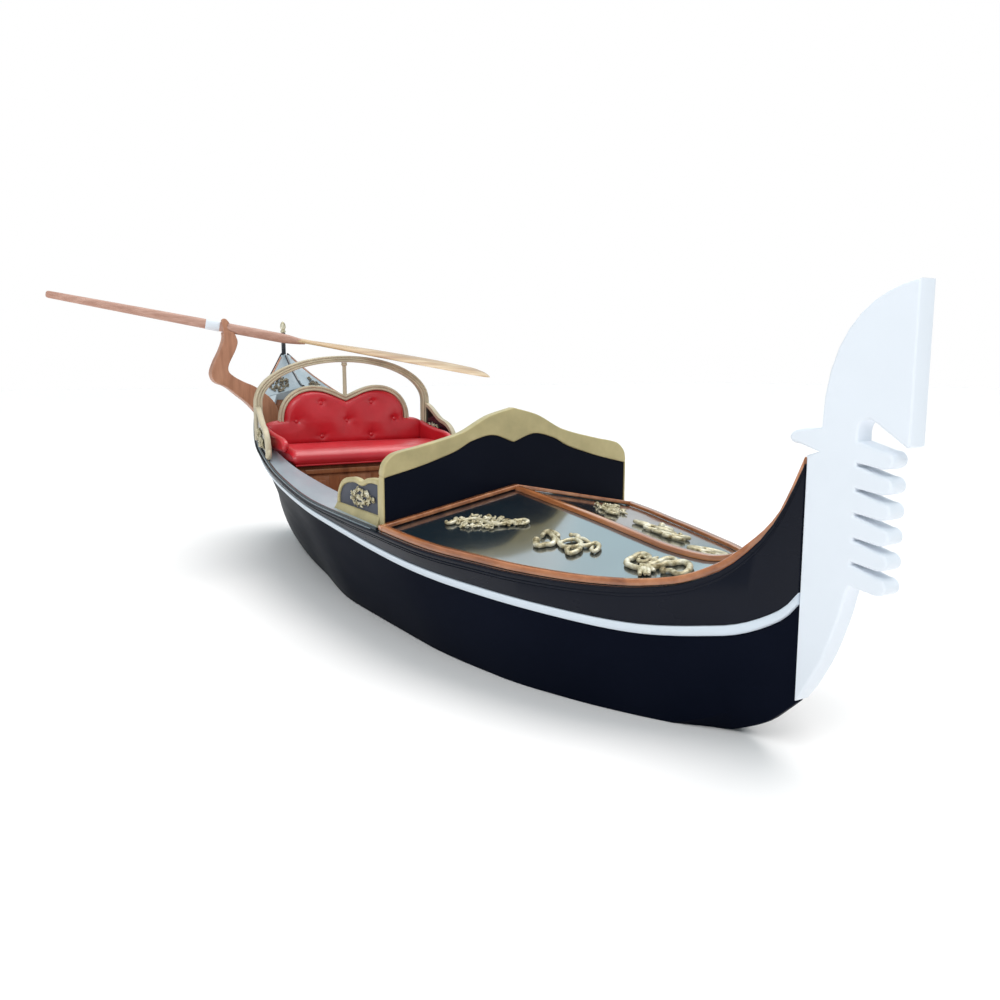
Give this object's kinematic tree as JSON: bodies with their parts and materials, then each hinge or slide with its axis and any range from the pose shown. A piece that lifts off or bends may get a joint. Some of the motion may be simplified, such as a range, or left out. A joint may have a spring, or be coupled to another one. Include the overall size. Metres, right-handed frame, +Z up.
{
  "type": "gondola display model",
  "caption": "Large display model of a Venetian gondola: lacquered flat-bottomed hull, toothed bow iron, scrolled screen, button-backed loveseat under an arch, and an oar in its carved oarlock.",
  "frame": {"origin": "on the flat bottom of the hull, on its centre line, halfway between the fore face of the bow iron and the after end of the deck", "axes": "+X to the bow, +Y to port, +Z up"},
  "size_m": [1.5333, 0.7522, 0.4656],
  "materials": {
    "black_lacquer": "gloss black lacquer",
    "white_paint": "satin white paint",
    "gold_paint": "satin pale gold paint",
    "gilt": "antique gilding over cast resin",
    "mahogany": "varnished mahogany",
    "walnut": "varnished dark wood",
    "beech": "oiled light brown wood",
    "red_leather": "satin red leather"
  },
  "bodies": {
    "hull": {"after_bulkhead": "walnut", "after_deck": "black_lacquer", "arch": "gold_paint", "arch_post": "gold_paint", "back_button_1": "red_leather", "back_button_2": "red_leather", "back_button_3": "red_leather", "back_button_4": "red_leather", "back_button_5": "red_leather", "back_button_6": "red_leather", "back_button_7": "red_leather", "bow_iron": "white_paint", "cheek_frame_port": "gold_paint", "cheek_frame_starboard": "gold_paint", "cheek_panel_port": "black_lacquer", "cheek_panel_starboard": "black_lacquer", "floorboards": "walnut", "fore_bulkhead": "black_lacquer", "foredeck_edge_port": "mahogany", "foredeck_edge_starboard": "mahogany", "foredeck_port": "black_lacquer", "foredeck_ridge": "mahogany", "foredeck_starboard": "black_lacquer", "hull_shell": "black_lacquer", "oarlock_socket": "walnut", "rower_platform": "walnut", "screen_cap": "gold_paint", "screen_panel": "black_lacquer", "screen_rail": "mahogany", "scroll_1_port": "gilt", "scroll_1_starboard": "gilt", "scroll_2_port": "gilt", "scroll_2_starboard": "gilt", "scroll_3_port": "gilt", "scroll_3_starboard": "gilt", "seat_arm_port": "red_leather", "seat_arm_starboard": "red_leather", "seat_back_board": "gold_paint", "seat_back_pad": "red_leather", "seat_board": "walnut", "seat_cushion": "red_leather", "seat_front": "walnut", "seat_rear": "walnut", "side_deck_port": "black_lacquer", "side_deck_starboard": "black_lacquer", "side_edge_port": "black_lacquer", "side_edge_starboard": "black_lacquer", "stern_finial": "gilt", "stern_post": "black_lacquer", "upper_strake_port": "black_lacquer", "upper_strake_starboard": "black_lacquer", "white_stripe_port": "white_paint", "white_stripe_starboard": "white_paint", "wing_panel_port": "black_lacquer", "wing_panel_starboard": "black_lacquer"},
    "stub": {"oarlock_stub": "beech"},
    "oarlock": {"oarlock": "beech"},
    "oar": {"oar_shaft": "beech", "oar_blade": "beech", "oar_collar": "white_paint"}
  },
  "joints": [
    {"name": "stub_lift", "type": "slide", "parent": "hull", "child": "stub", "axis": [0, 0, 1], "range_m": [0, 0.04]},
    {"name": "oarlock_turn", "type": "hinge", "parent": "stub", "child": "oarlock", "pos_m": [-0.462, -0.1225, 0.231], "axis": [0, 0, 1], "range_deg": [-25, 25]},
    {"name": "oar_lift", "type": "hinge", "parent": "oarlock", "child": "oar", "pos_m": [-0.459, -0.2, 0.409], "axis": [0.9724, -0.2334, 0], "range_deg": [0, 24]}
  ]
}
